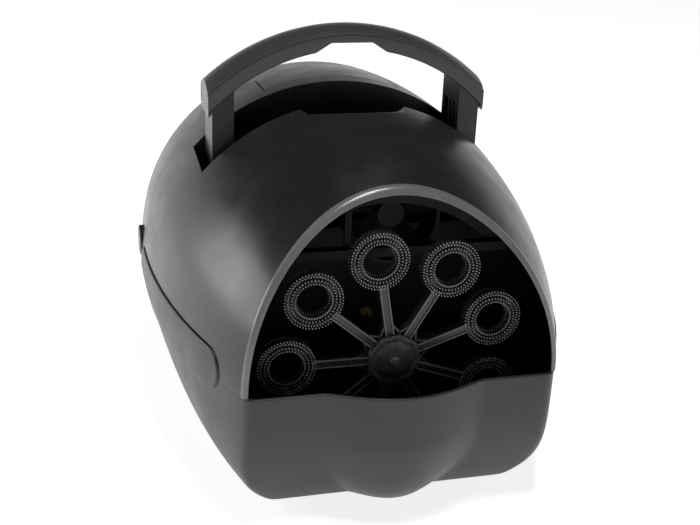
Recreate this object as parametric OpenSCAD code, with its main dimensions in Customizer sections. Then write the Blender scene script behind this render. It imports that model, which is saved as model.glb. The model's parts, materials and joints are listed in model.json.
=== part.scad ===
// Domed bubble machine with a turning wheel of wands, a fan behind it and a carrying handle
// that sinks into a groove. The machine stands on z = 0, its front faces -Y, +X is to the right
// of someone who looks at its front, and the origin is the centre of its footprint.

/* [Body] */
// Diameter of the dome at its widest
body_w = 254; // [250:1:260]
// Half the length of the long ellipse that the dome's side view follows
dome_half_len = 256; // [250:1:264]
// Distance of the dome's widest section behind the middle of the machine
dome_centre_y = 48; // [45:1:52]
// Height of the seam between tub and dome
seam_h = 82; // [80:1:84]
// Wall thickness of the mouldings
wall = 2.5; // [2:0.5:3]
// Radius of the arc that cuts the dome's front, seen from the side
front_cut_r = 182; // [180:1:184]
// Radius that rounds the dome into its flat rear face
rear_round = 21; // [18:1:28]
// How far the widest section tucks in at the bottom, as a share of its half width
tub_tuck = 0.27; // [0.2:0.01:0.28]
// How far the tub's front wall leans back at the bottom
front_lean = 19; // [16:1:20]
// Height of the rubber feet
foot_h = 3; // [2:0.5:4]

/* [Wand wheel] */
// Number of wands on the wheel
wand_count = 9; // [7:1:9]
// Radius of the circle through the wands' centres
wand_pitch_r = 62; // [60:1:62]
// Outer diameter of one wand's ring
wand_d = 34; // [30:1:34]
// Diameter of the hole that holds the soap film
wand_hole_d = 18; // [16:1:20]
// Depth of a ring along the axle
wand_depth = 9; // [7:0.5:9]
// Angle of the first wand above the horizontal
wand_phase = 20; // [0:1:39]

/* [Handle] */
// Width of the handle's grip
handle_w = 177; // [172:1:180]
// Depth of the grip from front to back
grip_depth = 35; // [32:1:36]
// How far the handle sinks into its groove
handle_travel = 46; // [30:1:46]
// Distance of the handle behind the middle of the machine
handle_y = 26; // [24:1:27]

/* [Drive] */
// Teeth on the wheel's gear
gear_teeth = 48; // [48:4:60]
// Teeth on the motor's pinion
pinion_teeth = 16; // [14:1:18]
// Gear module
gear_module = 1; // [0.9:0.1:1]

/* [Hidden] */

eps = 0.02;
fine = 96;
body_r = body_w / 2;
half_len = 150;
rear_y = half_len - 4;
front_y = -136.5;
belly_y = -half_len;
tub_h = seam_h - foot_h;
lean_power = 2.8;
side_power = 1.5;

wheel_y = -107;
hub_h = seam_h + 4;
hub_r = 17;
shaft_r = 2.5;
spoke_w = 5;
wheel_front_y = wheel_y - wand_depth / 2;

leg_t = 13.5;
leg_x = handle_w / 2 - leg_t - 2.5;
leg_d = grip_depth - 3;
leg_bottom_z = 112;
grip_arc_z = 117.5;
grip_arc_r = 128;
grip_crown = 4.5;
grip_lip = 8;
beam_r = grip_arc_r - 2;
beam_inner_r = beam_r - 5.5;
grip_screw_angle = 26;

groove_half_x = handle_w / 2 + 5;
groove_y0 = handle_y - 24.5;
groove_y1 = handle_y + 18.5;
groove_floor_r = 125.6;
groove_floor_z = 60;

rim_band = 4;
rim_proud = 0.8;

bulkhead_y = -50;
frame_y = -80;
shelf_z = 139;
deck_z = seam_h - 4;
basin_wall_y = -72;

fan_x = 5;
fan_z = 160;
fan_r = 25;
fan_y = -74;

motor_x = (gear_teeth + pinion_teeth) * gear_module / 2;
gear_y = -41;
gear_w = 5;
box_y = -32;
post_x = motor_x + 12.4;
post_dz = 10;

hatch_y0 = 57;
hatch_step_y = 88;
hatch_y1 = 118;
hatch_narrow = 45;
hatch_wide = 62;
hatch_gap = 0.8;

cap_y = 78;
cap_z = 92;
cap_r = 10.5;
cap_x = 127.8;

wing_y0 = -110;
wing_y1 = 62;
wing_r = 12.5;
wing_z = seam_h + 2.5;
wing_proud = 1.2;

panel_r = 83;
panel_z0 = seam_h + 8;
switch_x = -44;
switch_z = 112;
inlet_x = 46;
inlet_z = 110;
board_y = rear_y - 26;

cell_r = 13.1;
cell_len = 50;
cell_pitch = 28;
cell_z = 166;

foot_pos = [[-58, -86], [58, -86], [-68, 100], [68, 100]];
boss_pos = [[-80, -36], [80, -36], [-88, 84], [88, 84]];
boss_r = 5.5;
screw_r = 1.9;

black = [0.07, 0.07, 0.075];
charcoal = [0.12, 0.12, 0.13];
dark_grey = [0.2, 0.2, 0.21];
steel = [0.66, 0.67, 0.69];
brass = [0.72, 0.6, 0.28];
rubber = [0.05, 0.05, 0.05];

// ---------- body surface ----------

// Radius of the rounding that closes the rear, measured inwards from the ellipse
function rear_drop(y) = y > rear_y - rear_round
  ? rear_round - sqrt(max(0, pow(rear_round, 2) - pow(y - rear_y + rear_round, 2))) : 0;

// Radius of the dome's round section at depth y
function dome_r(y) = body_r * sqrt(1 - pow((y - dome_centre_y) / dome_half_len, 2)) - rear_drop(y);

dome_stations = concat(
  [for (i = [0:14]) front_y - 8 + i * (rear_y - rear_round - front_y + 8) / 14],
  [for (a = [15:15:90]) rear_y - rear_round + rear_round * sin(a)]
);

// Solid of the dome's outer shape, drawn in by the given amount, as a full round body
module dome_solid(inset = 0) {
  last_y = rear_y - inset;
  translate([0, 0, seam_h])
    rotate([-90, 0, 0])
      rotate_extrude($fn = fine)
        polygon(concat(
          [[0, dome_stations[0]]],
          [for (y = dome_stations) [max(1, dome_r(y) - inset), min(y, last_y)]],
          [[0, last_y]]
        ));
}

// Everything behind the arc that cuts the dome's front
module behind_front_arc(r) {
  translate([0, dome_centre_y, seam_h])
    rotate([0, 90, 0])
      cylinder(r = r, h = body_w + 40, center = true, $fn = fine);
}

module above(z, top = 260) {
  translate([-body_w, -half_len - 20, z])
    cube([2 * body_w, 2 * half_len + 40, top - z]);
}

// Groove that the handle sinks into, grown by the given amount
module groove(grow = 0) {
  intersection() {
    translate([-groove_half_x - grow, groove_y0 - grow, seam_h])
      cube([2 * (groove_half_x + grow), groove_y1 - groove_y0 + 2 * grow, 200]);
    difference() {
      above(seam_h);
      translate([0, 0, groove_floor_z])
        rotate([90, 0, 0])
          cylinder(r = groove_floor_r - grow, h = 400, center = true, $fn = fine);
    }
  }
}

// Shallow scoop in front of the groove, where the fingers reach under the grip
module finger_scoop(grow = 0) {
  scoop_r = 150;
  scoop_half = 33;
  scoop_z = seam_h + body_r - 10;
  intersection() {
    translate([0, groove_y0 + 3, scoop_z + scoop_r])
      rotate([0, 90, 0])
        cylinder(r = scoop_r + grow, h = 2 * (scoop_half + grow), center = true, $fn = fine);
    translate([-body_w, groove_y0 - 120, 0])
      cube([2 * body_w, 130, 400]);
  }
}

// Outline of the raised side wing, seen from the side
module wing_outline(grow = 0) {
  r = wing_r + grow;
  translate([wing_y0 + wing_r, wing_z])
    circle(r = r, $fn = 48);
  translate([wing_y1 - wing_r, wing_z])
    circle(r = r, $fn = 48);
  translate([wing_y0 + wing_r, wing_z - r])
    square([wing_y1 - wing_y0 - 2 * wing_r, 2 * r]);
}

module wing_prism(grow = 0) {
  rotate([90, 0, 90])
    translate([0, 0, -body_w])
      linear_extrude(2 * body_w)
        wing_outline(grow);
}

// T-shaped outline of the hatch, seen from above
module hatch_outline(grow = 0) {
  translate([-hatch_narrow - grow, hatch_y0 - grow])
    square([2 * (hatch_narrow + grow), hatch_y1 - hatch_y0 + 2 * grow]);
  translate([-hatch_wide - grow, hatch_step_y - grow])
    square([2 * (hatch_wide + grow), hatch_y1 - hatch_step_y + 2 * grow]);
}

module hatch_prism(grow = 0) {
  translate([0, 0, 150])
    linear_extrude(90)
      hatch_outline(grow);
}

// D-shaped outline of the rear panel, with the flat side down
module panel_prism(r, z0, y0, depth) {
  intersection() {
    translate([0, y0 + depth, seam_h])
      rotate([90, 0, 0])
        cylinder(r = r, h = depth, $fn = fine);
    above(z0);
  }
}

// Copies its children to both sides
module both_sides() {
  children();
  mirror([1, 0, 0])
    children();
}

// ---------- casings ----------

// How far the tub has turned in at height z, from 0 at the seam to 1 at the bottom
function turn_in(z, power) = pow(max(0, seam_h - z) / tub_h, power);

// Half width of the tub: the wide sections lean in, the narrow front turns in low down
function tub_r(y, z) =
  let (narrow = (body_r - dome_r(y)) / (body_r - dome_r(front_y)))
  dome_r(y) * (1 - tub_tuck * turn_in(z, side_power + 4 * narrow));

// Plan outline of the tub at height z, drawn in by the given amount
module tub_outline(z, inset) {
  u = turn_in(z, lean_power);
  y0 = front_y + front_lean * u + inset;
  y1 = rear_y - 14 * u - inset;
  ys = concat([for (i = [0:9]) y0 + i * (rear_y - rear_round - y0) / 9],
              [for (a = [20:17.5:90]) rear_y - rear_round + rear_round * sin(a)]);
  right = [for (y = ys) [tub_r(y, z) - inset, min(y, y1)]];
  left = [for (i = [len(ys) - 1:-1:0]) [-right[i][0], right[i][1]]];
  corner = 7;
  offset(r = corner, $fn = 24)
    offset(delta = -corner)
      polygon(concat(right, left));
}

// Convex tub body between two heights
module tub_body(z0, z1, inset) {
  levels = [0, 0.06, 0.16, 0.32, 0.55, 0.8, 1];
  hull()
    for (t = levels)
      translate([0, 0, z0 + t * (z1 - z0) - (t == 1 ? eps : 0)])
        linear_extrude(eps)
          tub_outline(z0 + t * (z1 - z0), inset);
}

// Rounded belly that bulges from the tub's front wall and gives the wheel room
module belly(inset) {
  belly_r = 81;
  waist_z = 48;
  low_r = 40;
  hull() {
    translate([0, belly_y + belly_r + inset, waist_z])
      cylinder(r = belly_r, h = seam_h - waist_z + (inset > 0 ? 1 : 0), $fn = 72);
    translate([0, belly_y + low_r + 13 + inset, foot_h + 9 + inset])
      cylinder(r = low_r, h = 1, $fn = 48);
    translate([0, belly_y + low_r + 22 + inset, foot_h + inset])
      cylinder(r = low_r - 6, h = 1, $fn = 48);
  }
}

module belly_clip(inset) {
  half = 44 - inset;
  translate([-half, belly_y - 5, 0])
    cube([2 * half, 60, seam_h + 1]);
}

module lower_housing() {
  color(charcoal)
    difference() {
      union() {
        difference() {
          union() {
            tub_body(foot_h, seam_h, 0);
            intersection() {
              belly(0);
              belly_clip(0);
            }
          }
          difference() {
            tub_body(foot_h + wall, seam_h + 1, wall);
            for (p = boss_pos)
              translate([p[0], p[1], 0])
                cylinder(r = boss_r, h = seam_h, $fn = 32);
          }
          intersection() {
            belly(wall);
            belly_clip(wall);
            above(foot_h + wall);
          }
        }
        both_sides()
          wing_shell();
      }
      for (p = foot_pos)
        translate([p[0], p[1], 0])
          cylinder(r = 3, h = 10, $fn = 24);
      for (p = boss_pos)
        translate([p[0], p[1], 0]) {
          cylinder(r = 4, h = 50, $fn = 24);
          cylinder(r = screw_r + 0.1, h = 100, $fn = 24);
        }
    }
}

// The tub's raised side wing, a strip that stands proud of the dome
module wing_shell() {
  intersection() {
    difference() {
      dome_solid(-wing_proud);
      dome_solid(wall);
    }
    wing_prism();
    translate([0, -half_len, 0])
      cube([body_w, 2 * half_len, 200]);
  }
}

module upper_housing() {
  color(black)
    difference() {
      intersection() {
        union() {
          difference() {
            dome_solid();
            difference() {
              dome_solid(wall);
              groove(wall);
              finger_scoop(wall);
            }
          }
          intersection() {
            dome_solid(wall / 2);
            union() {
              for (p = boss_pos)
                translate([p[0], p[1], seam_h])
                  cylinder(r = boss_r, h = 120, $fn = 32);
              both_sides()
                translate([104, cap_y, cap_z])
                  rotate([0, 90, 0])
                    cylinder(r = 9, h = 30, $fn = 32);
            }
          }
        }
        behind_front_arc(front_cut_r - rim_band);
        above(seam_h);
      }
      groove();
      finger_scoop();
      wing_prism(hatch_gap);
      hatch_prism(hatch_gap);
      panel_prism(panel_r, panel_z0, rear_y - wall - 1, 20);
      both_sides() {
        translate([leg_x - 0.8, handle_y - leg_d / 2 - 0.8, seam_h])
          cube([leg_t + 1.6, leg_d + 1.6, 120]);
        translate([100, cap_y, cap_z])
          rotate([0, 90, 0])
            cylinder(r = 5.5, h = 40, $fn = 32);
      }
      for (p = boss_pos)
        translate([p[0], p[1], 0])
          cylinder(r = screw_r, h = seam_h + 22, $fn = 24);
    }
}

module front_rim() {
  color(charcoal)
    intersection() {
      difference() {
        dome_solid(-rim_proud);
        dome_solid(wall);
      }
      difference() {
        behind_front_arc(front_cut_r);
        behind_front_arc(front_cut_r - rim_band);
      }
      above(seam_h);
      translate([-body_w, -half_len, 0])
        cube([2 * body_w, 100, 300]);
    }
}

module top_hatch() {
  color(black) {
    intersection() {
      difference() {
        dome_solid();
        dome_solid(wall);
      }
      hatch_prism();
      above(seam_h);
    }
  }
}

module rear_panel() {
  slot_w = 3;
  color(dark_grey)
    difference() {
      union() {
        panel_prism(panel_r + 3, panel_z0 - 3, rear_y, 2);
        panel_prism(panel_r - 0.4, panel_z0 + 0.4, rear_y - wall, wall);
        board_places()
          rotate([-90, 0, 0])
            cylinder(r = 3, h = rear_y - board_y - 1, $fn = 32);
      }
      board_places()
        rotate([-90, 0, 0])
          cylinder(r = 1.2, h = 12, $fn = 24);
      for (i = [0:5])
        translate([-(44 - i * 4), rear_y - 10, panel_z0 + 36 + i * 5.5])
          cube([2 * (44 - i * 4), 20, slot_w]);
      translate([switch_x - 7.5, rear_y - 10, switch_z - 11])
        cube([15, 20, 22]);
      translate([inlet_x, rear_y - 10, inlet_z])
        rotate([-90, 0, 0])
          cylinder(r = 6, h = 20, $fn = 32);
      translate([0, rear_y - 10, inlet_z])
        rotate([-90, 0, 0])
          cylinder(r = 2.5, h = 20, $fn = 24);
      panel_screw_holes();
    }
}

// Places of the circuit board's screws
module board_places() {
  for (x = [-31, 31], z = [panel_z0 + 6, panel_z0 + 44])
    translate([x, board_y + 1.6, z])
      children();
}

module panel_screw_holes() {
  for (x = [-70, 70])
    translate([x, rear_y - 12, panel_z0 + 8])
      rotate([-90, 0, 0])
        cylinder(r = 1.6, h = 30, $fn = 24);
  translate([0, rear_y - 12, seam_h + panel_r - 6])
    rotate([-90, 0, 0])
      cylinder(r = 1.6, h = 30, $fn = 24);
}

module side_caps() {
  color(black)
    both_sides() {
      translate([118, cap_y, cap_z])
        rotate([0, 90, 0])
          cylinder(r = 5.3, h = 8, $fn = 32);
      difference() {
        translate([118, cap_y, cap_z])
          rotate([0, 90, 0])
            cylinder(r = cap_r, h = cap_x - 118, $fn = 64);
        dome_solid();
      }
    }
}

module bracket_inserts() {
  color(brass)
    both_sides()
      translate([104, cap_y, cap_z])
        rotate([0, 90, 0])
          difference() {
            cylinder(r = 5.5, h = 13, $fn = 32);
            translate([0, 0, -1])
              cylinder(r = 4, h = 20, $fn = 32);
          }
}

module rubber_feet() {
  color(rubber)
    for (p = foot_pos)
      translate([p[0], p[1], 0]) {
        cylinder(r1 = 8, r2 = 9, h = foot_h, $fn = 48);
        cylinder(r = 3, h = foot_h + wall, $fn = 24);
      }
}

module pan_screw(length, r = screw_r) {
  cylinder(r = r, h = length, $fn = 24);
  translate([0, 0, -2])
    difference() {
      cylinder(r = r * 1.9, h = 2, $fn = 32);
      translate([-r, -0.4, -1])
        cube([2 * r, 0.8, 1.8]);
      translate([-0.4, -r, -1])
        cube([0.8, 2 * r, 1.8]);
    }
}

module housing_screws() {
  color(steel)
    for (p = boss_pos)
      translate([p[0], p[1], 50])
        pan_screw(50);
}

module panel_screws() {
  color(steel) {
    for (x = [-70, 70])
      translate([x, rear_y + 2, panel_z0 + 8])
        rotate([90, 0, 0])
          pan_screw(12, 1.6);
    translate([0, rear_y + 2, seam_h + panel_r - 6])
      rotate([90, 0, 0])
        pan_screw(12, 1.6);
  }
}

// ---------- inner structure ----------

// Keeps a plate within the dome, just clear of its wall
module inside_dome() {
  intersection() {
    children();
    dome_solid(wall + 0.3);
    behind_front_arc(front_cut_r - rim_band);
  }
}

// Stepped frame behind the wheel: an upper plate with the air window, a shelf and a post
module inner_frame() {
  window_r = 88;
  color(charcoal)
    difference() {
      inside_dome()
        union() {
          translate([-body_w / 2, frame_y - 2, shelf_z])
            cube([body_w, wall, 120]);
          translate([-body_w / 2, frame_y - 6, shelf_z])
            cube([body_w, 6, 5.5]);
          translate([-body_w / 2, bulkhead_y, deck_z + 3])
            cube([body_w, wall, shelf_z - deck_z - 3 + 5.5]);
          translate([-body_w / 2, frame_y + 2, shelf_z])
            cube([40, bulkhead_y - frame_y, 5.5]);
          translate([body_w / 2 - 40, frame_y + 2, shelf_z])
            cube([40, bulkhead_y - frame_y, 5.5]);
          translate([-body_w / 2, basin_wall_y, deck_z])
            cube([body_w, bulkhead_y - basin_wall_y + wall, 3]);
          translate([0, bulkhead_y + wall - eps, hub_h])
            rotate([-90, 0, 0])
              cylinder(r = 8, h = 4, $fn = 32);
        }
      intersection() {
        translate([0, frame_y - 4, seam_h])
          rotate([-90, 0, 0])
            cylinder(r = window_r, h = 8, $fn = fine);
        difference() {
          above(shelf_z + 5.5);
          translate([-24, frame_y - 5, 0])
            cube([4, 20, 250]);
        }
      }
      translate([0, bulkhead_y - 2, hub_h])
        rotate([-90, 0, 0])
          cylinder(r = 4.5, h = 20, $fn = 32);
      for (a = [45:90:315])
        translate([fan_x + 31 * cos(a), frame_y - 4, fan_z + 31 * sin(a)])
          rotate([-90, 0, 0])
            cylinder(r = 1.5, h = 10, $fn = 24);
      handle_clearance();
    }
}

// Room for the handle's legs and guides
module handle_clearance() {
  both_sides()
    translate([leg_x - 6, groove_y0, 0])
      cube([40, groove_y1 - groove_y0, 260]);
}

// Upright wall that closes the fluid basin behind the wheel
module basin_wall() {
  color(charcoal)
    intersection() {
      translate([-body_w / 2, basin_wall_y, foot_h + wall])
        cube([body_w, wall, deck_z - foot_h - wall]);
      tub_body(foot_h + wall, seam_h, wall);
    }
}

module shaft_bush() {
  color(brass)
    translate([0, bulkhead_y - 1, hub_h])
      rotate([-90, 0, 0])
        difference() {
          union() {
            cylinder(r = 4.5, h = 7.5, $fn = 32);
            cylinder(r = 4.9, h = 1, $fn = 32);
          }
          translate([0, 0, -1])
            cylinder(r = shaft_r + 0.05, h = 20, $fn = 32);
        }
}

// ---------- drive ----------

function involute_x(rb, t) = rb * (cos(t) + t * PI / 180 * sin(t));
function involute_y(rb, t) = rb * (sin(t) - t * PI / 180 * cos(t));

// Spur gear outline with involute flanks, a tooth centred on +X
module gear_outline(teeth, tip, backlash) {
  r = teeth * gear_module / 2;
  rb = r * cos(20);
  ra = r + tip * gear_module;
  rf = r - 1.25 * gear_module;
  t_tip = sqrt(pow(ra / rb, 2) - 1) * 180 / PI;
  t_r = tan(20) * 180 / PI;
  inv_r = t_r - 20;
  half = 90 / teeth - backlash / (2 * r) * 180 / PI + inv_r;
  steps = 5;
  circle(r = rf, $fn = 4 * teeth);
  for (i = [0:teeth - 1])
    rotate(i * 360 / teeth)
      polygon(concat(
        [[(rf - 0.4) * cos(half), -(rf - 0.4) * sin(half)]],
        [for (k = [0:steps]) let (t = t_tip * k / steps, x = involute_x(rb, t),
          y = involute_y(rb, t)) [x * cos(half) + y * sin(half), -x * sin(half) + y * cos(half)]],
        [for (k = [steps:-1:0]) let (t = t_tip * k / steps, x = involute_x(rb, t),
          y = involute_y(rb, t)) [x * cos(half) + y * sin(half), x * sin(half) - y * cos(half)]],
        [[(rf - 0.4) * cos(half), (rf - 0.4) * sin(half)]]
      ));
}

module drive_gear() {
  color("ivory")
    translate([0, gear_y, hub_h])
      rotate([-90, 0, 0])
        difference() {
          union() {
            linear_extrude(gear_w)
              gear_outline(gear_teeth, 0.8, 0.3);
            cylinder(r = 7, h = gear_w + 5, $fn = 32);
          }
          for (a = [0:60:300])
            rotate(a + 30)
              translate([14, 0, -1])
                cylinder(r = 3.5, h = gear_w + 2, $fn = 24);
          translate([0, 0, -1])
            cylinder(r = shaft_r, h = 20, $fn = 32);
        }
}

module pinion() {
  turn = 180 + 180 / pinion_teeth;
  color("ivory")
    translate([motor_x, gear_y - 1, hub_h])
      rotate([-90, 0, 0]) {
        linear_extrude(gear_w + 2)
          rotate(turn)
            gear_outline(pinion_teeth, 0.8, 0.3);
        cylinder(r = 1.4, h = gear_w + 8, $fn = 24);
      }
}

// Two spacers hold the gearbox off the frame, so that the gears turn between them
module motor_bracket() {
  color(dark_grey)
    for (s = [-1, 1])
      translate([post_x, bulkhead_y + wall, hub_h + s * post_dz])
        rotate([-90, 0, 0])
          difference() {
            cylinder(r = 3.2, h = box_y - bulkhead_y - wall, $fn = 32);
            translate([0, 0, -1])
              cylinder(r = 1.4, h = 30, $fn = 24);
          }
}

module gearbox() {
  color(dark_grey)
    difference() {
      translate([motor_x - 15, box_y, hub_h - 13])
        cube([31, 13, 26]);
      translate([motor_x, box_y - 1, hub_h])
        rotate([-90, 0, 0])
          cylinder(r = 1.46, h = 5, $fn = 24);
      for (s = [-1, 1])
        translate([post_x, box_y - 1, hub_h + s * post_dz])
          rotate([-90, 0, 0])
            cylinder(r = 1.4, h = 20, $fn = 24);
    }
}

module gear_motor() {
  color(steel)
    translate([motor_x, box_y + 13, hub_h])
      rotate([-90, 0, 0]) {
        cylinder(r = 10, h = 22, $fn = 48);
        cylinder(r = 4, h = 25, $fn = 32);
      }
}

module motor_screws() {
  color(steel)
    for (s = [-1, 1])
      translate([post_x, box_y + 13, hub_h + s * post_dz])
        rotate([90, 0, 0])
          pan_screw(26, 1.4);
}

module wheel_shaft() {
  color(brass)
    translate([0, wheel_front_y + 1, hub_h])
      rotate([-90, 0, 0])
        cylinder(r = shaft_r, h = gear_y + gear_w + 8 - wheel_front_y, $fn = 32);
}

// ---------- wand wheel ----------

// One ring, with a channel between an outer and an inner band
module wand_ring() {
  r1 = wand_d / 2;
  r0 = wand_hole_d / 2;
  mid = (r0 + r1) / 2;
  rotate([-90, 0, 0])
    rotate_extrude($fn = 64)
      difference() {
        translate([r0, 0])
          square([r1 - r0, wand_depth]);
        translate([mid - 2, -1])
          square([4, 4]);
        translate([mid - 2, wand_depth - 3])
          square([4, 4]);
      }
}

module wand_wheel() {
  spoke_len = wand_pitch_r - wand_d / 2 + 1;
  color(black)
    translate([0, wheel_front_y, hub_h])
      difference() {
        union() {
          rotate([-90, 0, 0])
            cylinder(r = hub_r, h = wand_depth - 1, $fn = 64);
          rotate([-90, 0, 0])
            cylinder(r = 7, h = wand_depth + 8, $fn = 32);
          for (i = [0:wand_count - 1])
            rotate([0, -wand_phase - i * 360 / wand_count, 0]) {
              translate([wand_pitch_r, 0, 0])
                wand_ring();
              difference() {
                translate([hub_r - 2, 1, -spoke_w / 2])
                  cube([spoke_len - hub_r + 2, wand_depth - 2.5, spoke_w]);
                translate([hub_r + 1, 0, -spoke_w / 2 + 1.2])
                  cube([spoke_len - hub_r - 2, 3, spoke_w - 2.4]);
              }
            }
        }
        rotate([-90, 0, 0])
          translate([0, 0, 1])
            cylinder(r = shaft_r, h = 30, $fn = 32);
        rotate([-90, 0, 0])
          translate([0, 0, -1])
            cylinder(r = 1.5, h = 4, $fn = 24);
      }
}

module hub_cap() {
  color(charcoal)
    translate([0, wheel_front_y, hub_h])
      rotate([90, 0, 0])
        difference() {
          union() {
            cylinder(r = hub_r - 1, h = 1.2, $fn = 64);
            for (i = [0:wand_count - 1])
              rotate(wand_phase + (i + 0.5) * 360 / wand_count)
                translate([hub_r - 3, 0, 0])
                  cylinder(r = 3, h = 1.2, $fn = 32);
          }
          translate([0, 0, -1])
            cylinder(r = 1.6, h = 4, $fn = 24);
        }
}

module hub_screw() {
  color(steel)
    translate([0, wheel_front_y - 1.2, hub_h])
      rotate([-90, 0, 0]) {
        cylinder(r = 1.5, h = 2.2, $fn = 24);
        translate([0, 0, -1])
          cylinder(r = 2.6, h = 1, $fn = 24);
      }
}

// ---------- fan ----------

module fan_housing() {
  depth = 20;
  color(dark_grey)
    translate([fan_x, frame_y + 0.5, fan_z])
      rotate([-90, 0, 0])
        difference() {
          union() {
            cylinder(r = fan_r + 3, h = depth, $fn = fine);
            for (a = [45:90:315])
              rotate(a)
                translate([31, 0, 0])
                  cylinder(r = 3.5, h = 4, $fn = 24);
          }
          translate([0, 0, -1])
            cylinder(r = fan_r + 1, h = depth - 2, $fn = fine);
          difference() {
            cylinder(r = fan_r + 1, h = depth + 1, $fn = fine);
            for (a = [0, 60, 120])
              rotate(a)
                translate([-fan_r - 2, -2, depth - 2.5])
                  cube([2 * fan_r + 4, 4, 5]);
            translate([0, 0, depth - 2.5])
              cylinder(r = 13.5, h = 5, $fn = 48);
          }
          translate([0, 0, depth - 4])
            cylinder(r = 3, h = 10, $fn = 24);
          for (a = [45:90:315])
            rotate(a)
              translate([31, 0, -1])
                cylinder(r = 1.5, h = 10, $fn = 24);
        }
}

module fan_screws() {
  color(steel)
    for (a = [45:90:315])
      translate([fan_x + 31 * cos(a), frame_y + 4.5, fan_z - 31 * sin(a)])
        rotate([90, 0, 0])
          pan_screw(6, 1.4);
}

module fan_motor() {
  color(steel)
    translate([fan_x, frame_y + 20.5, fan_z])
      rotate([-90, 0, 0])
        difference() {
          cylinder(r = 12, h = 24, $fn = 48);
          translate([0, 0, -1])
            cylinder(r = 1.06, h = 8, $fn = 24);
        }
}

module fan_impeller() {
  blades = 7;
  color(charcoal)
    translate([fan_x, fan_y, fan_z])
      rotate([-90, 0, 0]) {
        cylinder(r = 8, h = 9, $fn = 32);
        cylinder(r = 1, h = 19, $fn = 24);
        for (i = [0:blades - 1])
          rotate(i * 360 / blades)
            translate([7, -1, 4.5])
              rotate([35, 0, 0])
                translate([0, -4.5, -0.7])
                  cube([fan_r - 8.5, 9, 1.4]);
      }
}

// ---------- handle ----------

// Sector of a ring about the grip's arc centre, from radius r0 to r1
module arc_band(r0, r1, depth, reach = leg_x + leg_t) {
  intersection() {
    translate([0, handle_y, grip_arc_z])
      rotate([90, 0, 0])
        difference() {
          cylinder(r = r1, h = depth, center = true, $fn = fine);
          cylinder(r = r0, h = depth + 1, center = true, $fn = fine);
        }
    translate([-reach, 0, grip_arc_z + 60])
      cube([2 * reach, 100, 120]);
  }
}

module handle_frame() {
  color(black)
    difference() {
      union() {
        arc_band(beam_inner_r, beam_r, leg_d - 4);
        both_sides() {
          intersection() {
            translate([leg_x, handle_y - leg_d / 2, leg_bottom_z])
              cube([leg_t, leg_d, 120]);
            translate([0, handle_y, grip_arc_z])
              rotate([90, 0, 0])
                cylinder(r = beam_r, h = 60, center = true, $fn = fine);
          }
          translate([leg_x - 2.5, handle_y - leg_d / 2 - 2.5, leg_bottom_z])
            cube([leg_t + 4, leg_d + 5, 5]);
        }
      }
      both_sides()
        translate([leg_x - 1, handle_y - leg_d / 2 + 4, leg_bottom_z + 12])
          cube([leg_t - 3, leg_d - 8, 76]);
      grip_screw_holes();
      grip_notch();
    }
}

// Places on the grip's underside, square to its arc
module at_grip_screws() {
  both_sides()
    translate([0, handle_y, grip_arc_z])
      rotate([0, grip_screw_angle, 0])
        translate([0, 0, beam_inner_r + 2.5])
          children();
}

module grip_screw_holes() {
  at_grip_screws() {
    cylinder(r = 1.55, h = 6.5, $fn = 24);
    translate([0, 0, -8])
      cylinder(r = 3.1, h = 8, $fn = 32);
  }
}

// Shallow flat notch under the middle of the grip
module grip_notch() {
  notch_z = grip_arc_z + grip_arc_r - 4;
  half_top = 13;
  half_bottom = 24;
  translate([0, handle_y + grip_depth, 0])
    rotate([90, 0, 0])
      linear_extrude(2 * grip_depth)
        polygon([[-half_bottom, notch_z - 7], [-half_top, notch_z],
          [half_top, notch_z], [half_bottom, notch_z - 7]]);
}

module handle_grip() {
  edge_r = grip_arc_r;
  crown_r = (pow(grip_depth / 2, 2) + pow(grip_crown, 2)) / (2 * grip_crown);
  hollow = leg_d + 0.2;
  color(charcoal)
    difference() {
      intersection() {
        translate([0, handle_y, grip_arc_z])
          rotate([90, 0, 0])
            rotate_extrude($fn = fine)
              intersection() {
                translate([edge_r - grip_lip, -grip_depth / 2])
                  square([grip_lip + grip_crown, grip_depth]);
                translate([edge_r + grip_crown - crown_r, 0])
                  circle(r = crown_r, $fn = 64);
              }
        translate([-handle_w / 2, 0, grip_arc_z + 60])
          cube([handle_w, 100, 120]);
      }
      arc_band(edge_r - grip_lip - 1, beam_r, hollow, leg_x + leg_t + 0.2);
      grip_notch();
      grip_screw_holes();
    }
}

module grip_screws() {
  color(steel)
    at_grip_screws()
      pan_screw(6, 1.5);
}

// Sleeves under the groove that guide the legs and stop the handle when it is up
module handle_guides() {
  clear = 0.5;
  skin = 2;
  stop_z = leg_bottom_z + 5 + 0.3;
  color(charcoal)
    both_sides()
      intersection() {
        difference() {
          translate([leg_x - clear - skin, handle_y - leg_d / 2 - clear - skin, stop_z])
            cube([leg_t + 2 * (clear + skin), leg_d + 2 * (clear + skin), 60]);
          translate([leg_x - clear, handle_y - leg_d / 2 - clear, stop_z - 1])
            cube([leg_t + 2 * clear, leg_d + 2 * clear, 70]);
        }
        translate([0, 0, groove_floor_z])
          rotate([90, 0, 0])
            cylinder(r = groove_floor_r - wall, h = 400, center = true, $fn = fine);
        dome_solid(wall);
      }
}

// ---------- power ----------

module battery_holder() {
  w = 3 * cell_pitch + 4;
  ear_x = boss_pos[3][0] + 9;
  y0 = hatch_y0 + 3;
  len_y = cell_len + 6;
  z0 = cell_z - cell_pitch - cell_r - 2;
  color(dark_grey)
    difference() {
      union() {
        translate([-w / 2, y0, z0])
          cube([w, len_y, 52]);
        translate([-ear_x, boss_pos[3][1] - 9, z0])
          cube([2 * ear_x, 18, 3]);
      }
      translate([-w / 2 + 1.8, y0 + 1.8, z0 + 1.9])
        cube([w - 3.6, len_y - 3.6, 60]);
      for (i = [2, 3])
        translate([boss_pos[i][0], boss_pos[i][1], z0 - 1])
          cylinder(r = boss_r, h = 10, $fn = 32);
    }
}

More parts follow.
